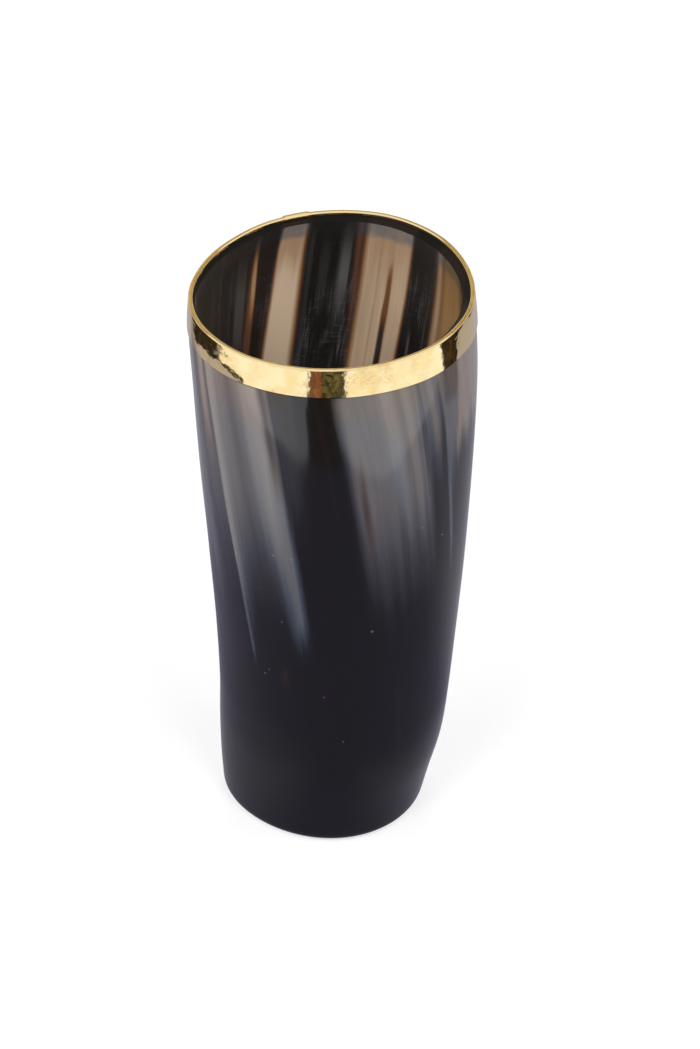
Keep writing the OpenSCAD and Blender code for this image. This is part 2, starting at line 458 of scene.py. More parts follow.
class Nodes:
    """The nodes of a material or a group. Each method adds a node and gives its output."""

    def __init__(self, tree):
        self.tree = tree

    def add(self, kind, inputs=(), **settings):
        node = self.tree.nodes.new(kind)
        for name, value in settings.items():
            setattr(node, name, value)
        for key, value in dict(inputs).items():
            if isinstance(value, bpy.types.NodeSocket):
                self.tree.links.new(value, node.inputs[key])
            else:
                node.inputs[key].default_value = value
        return node

    def math(self, operation, *values, clamp=False):
        node = self.add("ShaderNodeMath", enumerate(values), operation=operation, use_clamp=clamp)
        return node.outputs[0]

    def times(self, *values, clamp=False):
        return self.math("MULTIPLY", *values, clamp=clamp)

    def step(self, value, low, high, to_low=0.0, to_high=1.0, smooth=True):
        """Rises from to_low to to_high as the value goes from low to high."""
        kind = "SMOOTHSTEP" if smooth else "LINEAR"
        inputs = enumerate((value, low, high, to_low, to_high))
        return self.add("ShaderNodeMapRange", inputs, interpolation_type=kind).outputs[0]

    def blend(self, share, a, b):
        return self.add("ShaderNodeMix", {0: share, 2: a, 3: b}, data_type="FLOAT").outputs[0]

    def tint(self, share, a, b, how="MIX"):
        inputs = {0: share, 6: opaque(a), 7: opaque(b)}
        return self.add("ShaderNodeMix", inputs, data_type="RGBA", blend_type=how).outputs[2]

    def ramp(self, value, stops):
        node = self.add("ShaderNodeValToRGB", {0: value})
        elements = node.color_ramp.elements
        while len(elements) < len(stops):
            elements.new(1)
        for element, (at, colour) in zip(elements, stops):
            element.position = at
            element.color = opaque(colour)
        return node.outputs[0]

    def noise(self, vector, scale, detail=2.0, roughness=0.5):
        inputs = {"Vector": vector, "Scale": scale, "Detail": detail, "Roughness": roughness}
        return self.add("ShaderNodeTexNoise", inputs).outputs[0]

    def stretch(self, vector, x, y, z):
        inputs = {0: vector, 1: (x, y, z)}
        return self.add("ShaderNodeVectorMath", inputs, operation="MULTIPLY").outputs[0]

    def distance(self, vector):
        return self.add("ShaderNodeVectorMath", {0: vector}, operation="LENGTH").outputs["Value"]

    def parts(self, vector):
        return self.add("ShaderNodeSeparateXYZ", {0: vector}).outputs

    def mapped(self):
        """The parts of the shaded point's place on its piece's map."""
        return self.parts(self.add("ShaderNodeUVMap", uv_map=MAP).outputs[0])

    def place_m(self):
        """The shaded point, in metres."""
        return self.add("ShaderNodeTexCoord").outputs["Object"]

    def place_mm(self):
        return self.stretch(self.place_m(), 1 / MM, 1 / MM, 1 / MM)

    def looked_at(self):
        """1 where the camera sees a thing, in a mirror or through glass too, and else 0."""
        rays = self.add("ShaderNodeLightPath").outputs
        seen = self.math("ADD", rays["Is Camera Ray"], rays["Is Glossy Ray"], clamp=True)
        return self.math("ADD", seen, rays["Is Transmission Ray"], clamp=True)

    def bump(self, height, depth):
        """A bump of a height from 0 to 1, whose full depth is given in millimetres."""
        inputs = {"Height": height, "Distance": depth * MM, "Strength": 1.0}
        return self.add("ShaderNodeBump", inputs).outputs[0]

    def group(self, tree, inputs=()):
        return self.add("ShaderNodeGroup", inputs, node_tree=tree).outputs

    def give(self, values):
        """Makes and joins the outputs of the group of these nodes, and returns the group."""
        for label, value in values.items():
            kind = "NodeSocketVector" if value.type == "VECTOR" else "NodeSocketFloat"
            self.tree.interface.new_socket(label, in_out="OUTPUT", socket_type=kind)
        self.add("NodeGroupOutput", values)
        return self.tree


def opaque(colour):
    if isinstance(colour, tuple) and len(colour) == 3:
        return (*colour, 1)
    return colour


def new_group(name, inputs):
    """Nodes of a new group, whose inputs are floats, and what is put into it."""
    tree = bpy.data.node_groups.new(name, "ShaderNodeTree")
    for label, value in inputs.items():
        socket = tree.interface.new_socket(label, in_out="INPUT", socket_type="NodeSocketFloat")
        socket.default_value = value
    nodes = Nodes(tree)
    return nodes, nodes.add("NodeGroupInput").outputs


def fibre_group():
    """Where a point lies in the grain: across it in degrees, up it in millimetres, its place
    on an unwound horn, and the same place drawn out along the fibres."""
    nodes, given = new_group("Horn Fibre", {"Wander": 0.5})
    parts = nodes.mapped()
    height = nodes.times(parts[1], CUP_H)
    angle = nodes.times(parts[0], 2 * math.pi)
    x = nodes.times(nodes.math("COSINE", angle), MOUTH_R)
    y = nodes.times(nodes.math("SINE", angle), MOUTH_R)
    spot = nodes.add("ShaderNodeCombineXYZ", enumerate((x, y, height))).outputs[0]
    fibre = nodes.stretch(spot, 1, 1, FIBRE_DRAW)
    drift = nodes.noise(nodes.stretch(spot, 1, 1, 0.12), 0.22, 3)
    drift = nodes.times(nodes.math("SUBTRACT", drift, 0.5), given["Wander"])
    degrees = nodes.math("MULTIPLY_ADD", parts[0], 360, drift)
    across = nodes.math("WRAP", degrees, FIRST_DIR + 360, FIRST_DIR)
    return nodes.give({"Across": across, "Height": height, "Place": spot, "Fibre": fibre})


# A streak of the horn. left and right are its edges at the lip and at its lower end, in
# degrees across the grain. It fades over tail, above its end and below its start. soft is
# how many degrees its left and right edges take to set in. pale and warm are its tone
Streak = namedtuple(
    "Streak", "left right end tail pale warm soft start", defaults=[(1, 1), NO_START])


def streak_group():
    """Lays one streak over the tone that the streaks before it gave."""
    inputs = {
        "Across": 0, "Height": 0, "Pale": 0, "Warm": 0, "Left Top": 0, "Left End": 0,
        "Right Top": 0, "Right End": 0, "End": 0, "Tail": 1, "Start": NO_START,
        "Soft Left": 1, "Soft Right": 1, "Streak Pale": 0, "Streak Warm": 0,
    }
    nodes, given = new_group("Horn Streak", inputs)
    height = given["Height"]
    up = nodes.step(height, given["End"], CUP_H, smooth=False)
    left = nodes.blend(up, given["Left End"], given["Left Top"])
    right = nodes.blend(up, given["Right End"], given["Right Top"])
    across = given["Across"]
    mask = 1.0
    for low, high, fade in (
        (left, across, "Soft Left"), (across, right, "Soft Right"),
        (given["End"], height, "Tail"), (height, given["Start"], "Tail"),
    ):
        between = nodes.math("SUBTRACT", high, low)
        mask = nodes.times(mask, nodes.step(between, 0, given[fade]))
    pale = nodes.blend(mask, given["Pale"], given["Streak Pale"])
    # The hue sets in before the paleness does, so that the edges of warm streaks are brown
    hue = nodes.times(mask, 3, clamp=True)
    warm = nodes.blend(hue, given["Warm"], given["Streak Warm"])
    return nodes.give({"Pale": pale, "Warm": warm, "Mask": mask})


# The far wall, which shows inside the mouth
FAR_STREAKS = [
    # Ochre band with a pink side
    Streak((4, 4), (34, 34.6), 70, 30, 0.73, 0.9, (12, 5)),
    Streak((29, 29), (39.2, 40), 70, 40, 0.84, 0.9, (5, 5)),
    # Dark, with thin grey lines
    Streak((39.5, 39.5), (41.5, 41.5), 112, 12, 0.34, 0, (0.8, 0.8), 138),
    Streak((47, 47.3), (48.9, 49), 108, 6, 0.48, 0, (0.6, 0.6), 125),
    # Pink and tan bands, parted by a dark wedge
    Streak((50.8, 52.8), (77.6, 77.2), 64, 40, 0.89, 1, (3, 5)),
    Streak((61.1, 59.2), (63.4, 64.4), 80, 9, 0.13, 0.6, (1.5, 1.5), 134),
    Streak((60.8, 60), (63.4, 63.6), 118, 8, 0.5, 1, (1.2, 1.2), 143),
    Streak((66.2, 66.2), (68, 68), 80, 20, 0.82, 1, (1, 1)),
    # Brown beside them, wide at the mouth
    Streak((74.6, 74.6), (81.2, 78.4), 104, 22, 0.45, 1, (2.4, 3.4)),
    # Dark, with a grey-green cast and fine lines
    Streak((79.4, 79.8), (86, 86), 112, 22, 0.56, 0, (0.8, 3), 155),
    Streak((88, 88.2), (93.4, 93.4), 118, 14, 0.22, 0.1, (0.8, 2), 150),
    Streak((95.5, 95.5), (98.2, 98.2), 104, 8, 0.22, 0, (0.8, 0.8), 150),
    # Cream band with a red-brown side
    Streak((114, 118), (123, 124), 80, 20, 0.08, 0.5, (2, 1)),
    Streak((112, 114), (117, 121), 90, 30, 0.26, 1, (1, 4), 141),
    Streak((97.6, 97.2), (113.6, 119.4), 66, 44, 1, 1, (5, 3.4)),
    Streak((100, 100), (112, 114), 134, 10, 0.86, 1, (3, 3)),
    # A tan flame beside it
    Streak((121.4, 121.4), (128, 129.5), 90, 20, 0.4, 1, (2, 2.4), 154),
    Streak((121.8, 121.4), (126.2, 126.2), 122, 14, 0.76, 1, (1.6, 2.4), 153),
    # Grey lines at the left
    Streak((127.5, 127.5), (135.4, 135.4), 110, 16, 0.36, 0.1, (1.6, 1), 150),
    Streak((138, 138), (139.6, 139.6), 118, 10, 0.2, 0.1, (0.6, 0.6), 148),
    Streak((146, 146), (147.5, 147.5), 112, 14, 0.26, 0, (0.6, 0.6)),
    Streak((152, 152), (155, 155), 120, 14, 0.14, 0, (1, 1)),
]

# The near wall, which shows outside
NEAR_STREAKS = [
    # Grey ground on the left, with a tan patch and a bright line that runs far down
    Streak((172, 172), (246, 243), 60, 58, 0.63, 0.4, (10, 8)),
    Streak((176, 176), (200, 199), 56, 54, 0.72, 0.3, (8, 6)),
    Streak((201.5, 198), (209.4, 208), 112, 26, 1, 0.85, (4, 3)),
    Streak((209, 209), (226, 224), 60, 76, 0.82, 0.25, (2, 12)),
    Streak((209, 208.6), (212.6, 212), 54, 10, 0.44, 0, (1.2, 1.6), 92),
    Streak((209.2, 209), (217.4, 214.4), 50, 64, 1, 0.1, (1.8, 5)),
    Streak((210, 210), (211.2, 211.2), 84, 8, 1, 0, (0.5, 0.5), 107),
    # Blue-grey wedge with a blue tip, and a brown right side
    Streak((225, 231), (245, 243.6), 60, 19, 0.64, 0, (10, 5)),
    Streak((222, 227), (245, 243.6), 76, 54, 0.92, 0.05, (11, 10)),
    Streak((237, 237), (243, 243), 112, 18, 0.46, 0.7, (3, 4)),
    # Dark horn in the middle, grey at its left
    Streak((241.5, 240.5), (258, 251), 94, 26, 0.3, 0.4, (2, 8)),
    Streak((253, 253), (256.5, 256.5), 100, 22, 0.1, 1, (2, 2)),
    Streak((259, 259), (262.5, 262.5), 100, 22, 0.12, 1, (2, 2)),
    # Grey ground on the right, with a brown side and its brighter and darker lines
    Streak((264.5, 266), (306, 305), 64, 54, 0.65, 0.4, (7, 5)),
    Streak((270, 270), (275.4, 275.4), 90, 28, 0.31, 0.9, (3, 3), 131),
    Streak((283, 283), (293, 293), 96, 40, 0.78, 0, (5, 3)),
    Streak((294, 294), (299.6, 299), 88, 40, 0.76, 0.4, (1.6, 1.6)),
    Streak((300.6, 300.6), (303, 302.6), 100, 20, 0.46, 0.4, (0.8, 0.9), 146),
    Streak((302.6, 302.6), (315, 310), 104, 30, 0.57, 0.3, (1, 3)),
    Streak((305.6, 305.6), (310.4, 310), 120, 16, 0.66, 0.7, (2, 2)),
    Streak((310.8, 312), (331, 318.5), 98, 28, 0.62, 0.3, (2, 4)),
    Streak((312, 312), (316.4, 315.8), 74, 24, 0.56, 0, (1.4, 2), 130),
    # Pink towards the right edge, and on past the place where the directions start again
    Streak((326.5, 315.5), (352, 352), 112, 16, 0.8, 0.9, (3, 4)),
    Streak((-30, -30), (-6, -6), 112, 16, 0.8, 0.9, (2, 6)),
    # A faint line and a faint brown patch on the black lower half
    Streak((276, 277), (281, 281), 20, 14, 0.14, 0, (1.5, 1.5), 60),
    Streak((221, 223), (229, 230), 51, 5, 0.2, 1, (4, 3), 62),
]

# Tone of the horn between its streaks
GROUND_PALE = 0.06
GROUND_WARM = 0.3

# Small light specks: across the grain, height and size
SPECKS = [
    (232, 96, 0.5), (239.6, 96, 0.5), (230, 75, 0.35), (268.5, 73, 0.5), (251, 37, 0.3),
    (215, 55, 0.4), (218, 57, 0.3), (244, 52, 0.3), (296, 101, 0.35), (307, 95, 0.4),
]

# Radius of the horn about where they lie
SPECK_R = MOUTH_R * 0.9

# Stains on the collar: direction, height and size
STAINS = [(278, 149.6, 2.4), (284, 149, 2.8), (291, 148.6, 2.2), (247, 145.4, 1.4)]


def figure_group(fibre, streak):
    """The horn's own figure: how pale and how warm it is, and where it is ochre."""
    nodes, given = new_group("Horn Figure", {"Wander": 0.9, "Fray": 10, "Lines": 0.26})
    at = nodes.group(fibre, {"Wander": given["Wander"]})
    # Some fibres keep their paleness further down than others
    reach = nodes.math("SUBTRACT", nodes.noise(at["Fibre"], 0.4, 3), 0.5)
    height = nodes.math("MULTIPLY_ADD", reach, given["Fray"], at["Height"])
    pale = GROUND_PALE
    warm = GROUND_WARM
    masks = []
    for s in FAR_STREAKS + NEAR_STREAKS:
        laid = nodes.group(streak, {
            "Across": at["Across"], "Height": height, "Pale": pale, "Warm": warm,
            "Left Top": s.left[0], "Left End": s.left[1],
            "Right Top": s.right[0], "Right End": s.right[1],
            "End": s.end, "Tail": s.tail, "Start": s.start,
            "Soft Left": s.soft[0], "Soft Right": s.soft[1],
            "Streak Pale": s.pale, "Streak Warm": s.warm,
        })
        pale = laid["Pale"]
        warm = laid["Warm"]
        masks.append(laid["Mask"])
    # Long fibres, fine and coarse, show most in the pale horn
    coarse = nodes.math("SUBTRACT", nodes.noise(at["Fibre"], 0.5, 3), 0.5)
    fine = nodes.math("SUBTRACT", nodes.noise(at["Fibre"], 2.2, 2), 0.5)
    lines = nodes.math("MULTIPLY_ADD", coarse, given["Lines"], nodes.times(fine, 0.09))
    pale = nodes.math("MULTIPLY_ADD", lines, pale, pale, clamp=True)
    return nodes.give({"Pale": pale, "Warm": warm, "Ochre": masks[0]})


def speck_group():
    """A soft round spot, added to those before it."""
    inputs = {"Across": 0, "Height": 0, "At": 0, "Up": 0, "Size": 1, "Before": 0}
    nodes, given = new_group("Speck", inputs)
    per_degree = math.radians(1) * SPECK_R
    x = nodes.times(nodes.math("SUBTRACT", given["Across"], given["At"]), per_degree)
    y = nodes.math("SUBTRACT", given["Height"], given["Up"])
    far = nodes.math("SQRT", nodes.math("ADD", nodes.math("POWER", x, 2), nodes.math("POWER", y, 2)))
    mask = nodes.step(far, given["Size"], nodes.times(given["Size"], 0.3))
    return nodes.give({"Mask": nodes.math("MAXIMUM", mask, given["Before"])})


def wear_group():
    """Fine scratches, which run every way, and a slow change of polish."""
    nodes, given = new_group("Hand Wear", {"Scale": 1, "Amount": 0.5})
    place_mm = nodes.place_mm()
    marks = 0.0
    for tilt, axis in ((0.4, "AXIS_ANGLE"), (1.7, "AXIS_ANGLE"), (2.6, "X_AXIS")):
        inputs = {"Vector": place_mm, "Angle": tilt}
        turned = nodes.add("ShaderNodeVectorRotate", inputs, rotation_type=axis).outputs[0]
        thin = nodes.stretch(turned, 0.12, 3.5, 3.5)
        line = nodes.noise(thin, given["Scale"], 1)
        marks = nodes.math("MAXIMUM", marks, nodes.step(line, 0.72, 0.8))
    marks = nodes.times(marks, given["Amount"])
    return nodes.give({"Scratch": marks, "Polish": nodes.noise(place_mm, 0.05, 3)})


# Tones of the horn, from its darkest to its palest
OUTSIDE_COOL = [
    (0, (0.0034, 0.0026, 0.0036)), (0.17, (0.01, 0.01, 0.013)), (0.33, (0.028, 0.033, 0.049)),
    (0.47, (0.052, 0.064, 0.09)), (0.58, (0.09, 0.1, 0.127)), (0.7, (0.15, 0.153, 0.168)),
    (0.8, (0.205, 0.202, 0.213)), (1, (0.32, 0.3, 0.295)),
]
OUTSIDE_WARM = [
    (0, (0.004, 0.003, 0.003)), (0.17, (0.013, 0.009, 0.008)), (0.4, (0.055, 0.04, 0.034)),
    (0.6, (0.13, 0.1, 0.086)), (0.75, (0.215, 0.167, 0.14)), (1, (0.37, 0.29, 0.24)),
]
INSIDE_COOL = [
    (0, (0.0055, 0.0055, 0.0055)), (0.3, (0.042, 0.042, 0.04)), (0.6, (0.13, 0.125, 0.12)),
    (1, (0.42, 0.38, 0.33)),
]
INSIDE_WARM = [
    (0, (0.009, 0.007, 0.006)), (0.18, (0.03, 0.014, 0.01)), (0.36, (0.08, 0.038, 0.026)),
    (0.5, (0.2, 0.08, 0.032)), (0.65, (0.33, 0.17, 0.075)), (0.8, (0.45, 0.3, 0.185)),
    (1, (0.74, 0.57, 0.4)),
]
OCHRE = (1, 0.96, 0.66)
# Painted shade below the bevel, where the collar keeps light from shining through the horn, over a
# dull film
SHADED_FILM = [(0.1, (0.019, 0.019, 0.019)), (0.4, (0.05, 0.052, 0.056)), (0.9, (0.145, 0.162, 0.18))]
OCHRE_SHADED_FILM = (0.72, 0.64, 0.38)

# Heights between which the horn's looks change: it grows browner up the outside, and down
# the bore the painted shade of the collar and the dull film end, the bands are painted
# paler as painted light where less light reaches deep in the bore, and the scraper marks
# grow clearer
BROWNER_Z = (127, 143)
SHADED_FILM_Z = (146.6, 148.6)
PAINTED_LIGHT_Z = (147, 128)
SCRAPED_Z = (144, 130)

# How strongly horn and resin bend light
HORN_IOR = 1.54
RESIN_IOR = 1.55


def new_material(name):
    material = bpy.data.materials.new(name)
    material.use_nodes = True
    return material, Nodes(material.node_tree)


def spots(nodes, groups, across, height, places):
    """Mask of soft spots, each given by its place across, its height and its size."""
    mask = 0.0
    for at, up, size in places:
        inputs = {"Across": across, "Height": height, "At": at, "Up": up, "Size": size}
        mask = nodes.group(groups["speck"], {**inputs, "Before": mask})[0]
    return mask


def worn(nodes, groups, scale, amount):
    return nodes.group(groups["wear"], {"Scale": scale, "Amount": amount})


def dulled(nodes, wear, least, most):
    """Roughness that drifts between two values with the polish."""
    return nodes.step(wear["Polish"], 0.3, 0.7, least, most)


def finish(material, inputs):
    """Sets or joins the shader's own sockets."""
    tree = material.node_tree
    sockets = tree.nodes["Principled BSDF"].inputs
    for key, value in inputs.items():
        if isinstance(value, bpy.types.NodeSocket):
            tree.links.new(value, sockets[key])
        else:
            sockets[key].default_value = opaque(value)
    return material


def horn_outside(groups):
    """Polished horn: grey, milky and brown streaks that sink into near-black."""
    material, nodes = new_material("horn_outside")
    figure = nodes.group(groups["figure"], {"Wander": 1.6, "Fray": 18, "Lines": 0.2})
    at = nodes.group(groups["fibre"], {"Wander": 0.0})
    wear = worn(nodes, groups, 1.0, 0.5)
    cool = nodes.ramp(figure["Pale"], OUTSIDE_COOL)
    warm = nodes.ramp(figure["Pale"], OUTSIDE_WARM)
    near_mouth = nodes.step(at["Height"], *BROWNER_Z, 0, 0.8)
    colour = nodes.tint(nodes.math("MAXIMUM", figure["Warm"], near_mouth), cool, warm)
    specks = spots(nodes, groups, at["Across"], at["Height"], SPECKS)
    colour = nodes.tint(nodes.times(specks, 0.4), colour, (0.3, 0.29, 0.27))
    rough = dulled(nodes, wear, 0.06, 0.11)
    rough = nodes.math("MULTIPLY_ADD", wear["Scratch"], 0.15, rough)
    ridges = nodes.noise(nodes.stretch(at["Place"], 1, 1, 0.08), 0.7, 2)
    return finish(material, {
        "Base Color": colour, "Roughness": rough, "IOR": HORN_IOR,
        "Normal": nodes.bump(ridges, 0.012),
    })


def horn_inside(groups):
    """Scraped horn inside the cup: cream and tan bands with brown edges on black."""
    material, nodes = new_material("horn_inside")
    figure = nodes.group(groups["figure"])
    at = nodes.group(groups["fibre"], {"Wander": 0.0})
    wear = worn(nodes, groups, 0.8, 0.8)
    # Scraper marks run with the grain and show grey on the dark horn
    scraped = nodes.step(nodes.noise(at["Fibre"], 2.4, 3, 0.65), 0.48, 0.7)
    crossed = nodes.step(nodes.noise(nodes.stretch(at["Place"], 0.1, 0.1, 1), 3, 2, 0.6), 0.5, 0.75)
    scraped = nodes.math("MULTIPLY_ADD", crossed, 0.5, scraped)
    patches = nodes.noise(nodes.stretch(at["Place"], 1, 1, 0.4), 0.13, 2)
    scraped = nodes.times(scraped, nodes.step(patches, 0.44, 0.62, 0.03, 0.85))
    scraped = nodes.times(scraped, nodes.step(at["Height"], *SCRAPED_Z, 0.15, 1))
    scraped = nodes.math("MAXIMUM", scraped, wear["Scratch"])
    dark = nodes.math("SUBTRACT", 1.0, figure["Pale"])
    scraped = nodes.times(scraped, dark, clamp=True)
    # Painted light: the bands are painted paler deeper in the bore, where less light reaches them
    paler = nodes.step(at["Height"], *PAINTED_LIGHT_Z, 0.9, 1)
    pale = nodes.times(figure["Pale"], paler)
    cool = nodes.ramp(pale, INSIDE_COOL)
    warm = nodes.ramp(pale, INSIDE_WARM)
    colour = nodes.tint(figure["Warm"], cool, warm)
    ochre = nodes.tint(1.0, colour, OCHRE, "MULTIPLY")
    colour = nodes.tint(figure["Ochre"], colour, ochre)
    colour = nodes.tint(scraped, colour, (0.125, 0.125, 0.13))
    # Below the bevel the horn is painted darker over the pale bands and greyer over the dark:
    # painted shade where the collar keeps light from shining through the horn, over a dull film
    patchy = nodes.noise(at["Place"], 0.5, 3)
    edge = nodes.math("MULTIPLY_ADD", patchy, 1.6, at["Height"])
    thick = nodes.step(patchy, 0.3, 0.6, 0.55, 0.75)
    film = nodes.times(nodes.step(edge, *SHADED_FILM_Z), thick)
    dull = nodes.ramp(figure["Pale"], SHADED_FILM)
    dull = nodes.tint(figure["Ochre"], dull, nodes.tint(1.0, dull, OCHRE_SHADED_FILM, "MULTIPLY"))
    colour = nodes.tint(film, colour, dull)
    rough = dulled(nodes, wear, 0.3, 0.45)
    ridges = nodes.noise(nodes.stretch(at["Place"], 1, 1, 0.05), 1.1, 3)
    return finish(material, {
        "Base Color": colour, "Roughness": rough, "IOR": HORN_IOR,
        "Normal": nodes.bump(ridges, 0.05),
    })


def shaded_horn_cut(groups):
    """Horn where it was sawn and filed: at the lip, on the bevel and under the foot."""
    material, nodes = new_material("shaded_horn_cut")
    figure = nodes.group(groups["figure"])
    wear = worn(nodes, groups, 1.4, 1.0)
    # Painted shade: the horn's dark tone, kept near-black even over the pale streaks, where the
    # collar keeps light from shining through the horn
    colour = nodes.ramp(figure["Pale"], [(0, (0.004, 0.0035, 0.003)), (1, (0.014, 0.009, 0.007))])
    colour = nodes.tint(nodes.times(wear["Scratch"], 0.4), colour, (0.05, 0.042, 0.036))
    rough = dulled(nodes, wear, 0.4, 0.6)
    return finish(material, {
        "Base Color": colour, "Roughness": rough, "IOR": HORN_IOR, "Specular IOR Level": 0.08,
        "Normal": nodes.bump(wear["Scratch"], 0.03),
    })


def disc_horn(groups):
    """The disc: a slice of dark horn plate, with straight fibres and sanding marks."""
    material, nodes = new_material("disc_horn")
    wear = worn(nodes, groups, 1.2, 0.8)
    plate = nodes.stretch(nodes.place_m(), 60, 900, 300)
    fibres = nodes.noise(plate, 1.0, 4, 0.6)
    colour = nodes.ramp(fibres, [
        (0.3, (0.007, 0.006, 0.006)), (0.55, (0.02, 0.014, 0.011)), (0.75, (0.06, 0.04, 0.028)),
    ])
    rough = dulled(nodes, wear, 0.25, 0.4)
    return finish(material, {
        "Base Color": colour, "Roughness": rough, "IOR": HORN_IOR,
        "Normal": nodes.bump(nodes.math("ADD", fibres, wear["Scratch"]), 0.02),
    })


def set_resin(groups):
    """Brown resin, glossy, with a slightly uneven top."""
    material, nodes = new_material("resin")
    wear = worn(nodes, groups, 1.0, 0.3)
    colour = nodes.ramp(wear["Polish"], [(0.3, (0.03, 0.018, 0.01)), (0.7, (0.07, 0.042, 0.022))])
    return finish(material, {
        "Base Color": colour, "Roughness": 0.14, "IOR": RESIN_IOR,
        "Normal": nodes.bump(wear["Polish"], 0.2),
    })


def set_adhesive(groups):
    """The edge of the adhesive film, yellowed."""
    material, nodes = new_material("adhesive")
    wear = worn(nodes, groups, 1.0, 0.3)
    colour = nodes.ramp(wear["Polish"], [(0.3, (0.18, 0.12, 0.05)), (0.7, (0.33, 0.24, 0.11))])
    return finish(material, {"Base Color": colour, "Roughness": 0.45})


def sheet_brass(groups):
    """Thin bright brass, burnished by hand over the lip: slightly wavy, with stains."""
    material, nodes = new_material("brass")
    wear = worn(nodes, groups, 1.0, 0.6)
    place_mm = nodes.place_mm()
    stain = nodes.step(nodes.noise(place_mm, 0.11, 4, 0.6), 0.56, 0.74)
    turn = nodes.times(nodes.mapped()[0], 360)
    height = nodes.parts(place_mm)[2]
    stained = spots(nodes, groups, turn, height, STAINS)
    broken = nodes.step(nodes.noise(nodes.stretch(place_mm, 1, 1, 1.6), 1.1, 3, 0.6), 0.48, 0.6)
    stain = nodes.math("MAXIMUM", stain, nodes.times(stained, broken))
    colour = nodes.tint(nodes.times(stain, 0.45), (0.87, 0.69, 0.375), (0.62, 0.36, 0.15))
    rough = dulled(nodes, wear, 0.04, 0.08)
    rough = nodes.math("MULTIPLY_ADD", wear["Scratch"], 0.12, rough)
    rough = nodes.math("MULTIPLY_ADD", stain, 0.1, rough)
    wavy = nodes.noise(place_mm, 0.16, 3, 0.5)
    dents = nodes.noise(place_mm, 0.8, 2, 0.5)
    wavy = nodes.math("MULTIPLY_ADD", dents, 0.05, wavy)
    return finish(material, {
        "Base Color": colour, "Metallic": 1.0, "Roughness": rough,
        "Normal": nodes.bump(wavy, 0.12),
    })


def soft_solder(groups):
    """Grey-yellow solder at the edge of the lap."""
    material, nodes = new_material("solder")
    wear = worn(nodes, groups, 1.0, 0.5)
    colour = nodes.ramp(wear["Polish"], [(0.3, (0.5, 0.46, 0.36)), (0.7, (0.62, 0.58, 0.46))])
    return finish(material, {
        "Base Color": colour, "Metallic": 1.0, "Roughness": 0.35,
        "Normal": nodes.bump(wear["Polish"], 0.1),
    })


# Stage: floor, cards for reflections, lamps, world and camera. Corners lie in plan, in
# millimetres from the middle of the foot

# The camera: where it stands, how many degrees it looks down, its lens and sensor
CAMERA_AT = (6.86, -905.98, 742.83)
LOOKS_DOWN = 36.1
LENS = 154.43
SENSOR_H = 36

# Lamps: name, place, size and watts
LAMPS = [
    ("front_left_lamp", (-380, -720, 1050), 400, 6.5),
    ("front_right_lamp", (380, -720, 1050), 400, 6.5),
    ("left_lamp", (-950, -150, 700), 700, 5),
    ("right_lamp", (950, -150, 700), 700, 5),
    ("back_lamp", (0, 950, 900), 700, 5),
]

# Light that the world casts on the cup, as a share of its white
WORLD_LIGHT = 0.15

# Radius of the table, of the ceiling, and the height at which the ceiling hangs
TABLE_R = 3000
CEILING_R = 6000
CEILING_Z = 1500
ROUND_STEPS = 48

# The sides of the gap between the two white panels, from the cup outwards
GAP_LEFT = [(-55, -203), (-57, -221), (-72, -254), (-73, -290)]
GAP_RIGHT = [(55, -202), (38, -220), (24, -257), (16, -285), (58, -300)]


def bare_material(name):
    material, nodes = new_material(name)
    nodes.tree.nodes.clear()
    return material, nodes


def glow(name, colour, blotch=None, scale=60):
    """Plain glowing material for a card, blotched with a second colour if one is given."""
    material, nodes = bare_material(name)
    shown = opaque(colour)
    if blotch:
        blotches = nodes.step(nodes.noise(nodes.place_m(), scale, 3, 0.6), 0.42, 0.6)
        shown = nodes.tint(blotches, colour, blotch)
    light = nodes.add("ShaderNodeEmission", {"Color": shown, "Strength": 1.0})
    nodes.add("ShaderNodeOutputMaterial", {"Surface": light.outputs[0]})
    return material


def flat(name, corners, depth, material):
    """Flat piece of the stage, depth millimetres below the floor."""
    mesh = bpy.data.meshes.new(name)
    points = [(x * MM, y * MM, -depth * MM) for x, y in corners]
    mesh.from_pydata(points, [], [list(range(len(points)))])
    mesh.materials.append(material)
    piece = new_object(name, mesh)
    return piece


def card(name, corners, depth, material):
    """A card that only shows in reflections."""
    piece = flat(name, corners, depth, material)
    piece.visible_camera = False
    piece.visible_diffuse = False
    piece.visible_transmission = False
    piece.visible_shadow = False


def round_points(radius):
    turn = [2 * math.pi * k / ROUND_STEPS for k in range(ROUND_STEPS)]
    return [(radius * math.cos(a), radius * math.sin(a)) for a in turn]


def table_glow():
    """The table as the cup mirrors it: dark in front, paler behind, beside the foot and at
    the far left."""
    material = glow("table_glow", (1, 1, 1))
    nodes = Nodes(material.node_tree)
    place_m = nodes.place_m()
    x, y = nodes.parts(place_m)[:2]
    away = nodes.distance(place_m)
    back = nodes.step(nodes.math("MULTIPLY_ADD", x, 0.6, y), 0.04, 0.11)
    back = nodes.times(back, nodes.step(away, 0.17, 0.26, 0.7, 0.92))
    near = nodes.step(away, 0.062, 0.046, 0, 0.45)
    aside = nodes.step(nodes.math("ABSOLUTE", x), 0.005, 0.035)
    paler = nodes.math("MAXIMUM", back, nodes.times(near, aside))
    paler = nodes.math("MAXIMUM", paler, nodes.step(x, -0.15, -0.24))
    colour = nodes.ramp(paler, [
        (0, (0.2, 0.192, 0.262)), (0.7, (0.375, 0.37, 0.43)), (1, (0.52, 0.5, 0.56)),
    ])
    light = next(n for n in material.node_tree.nodes if n.type == "EMISSION")
    nodes.tree.links.new(colour, light.inputs["Color"])
    return material


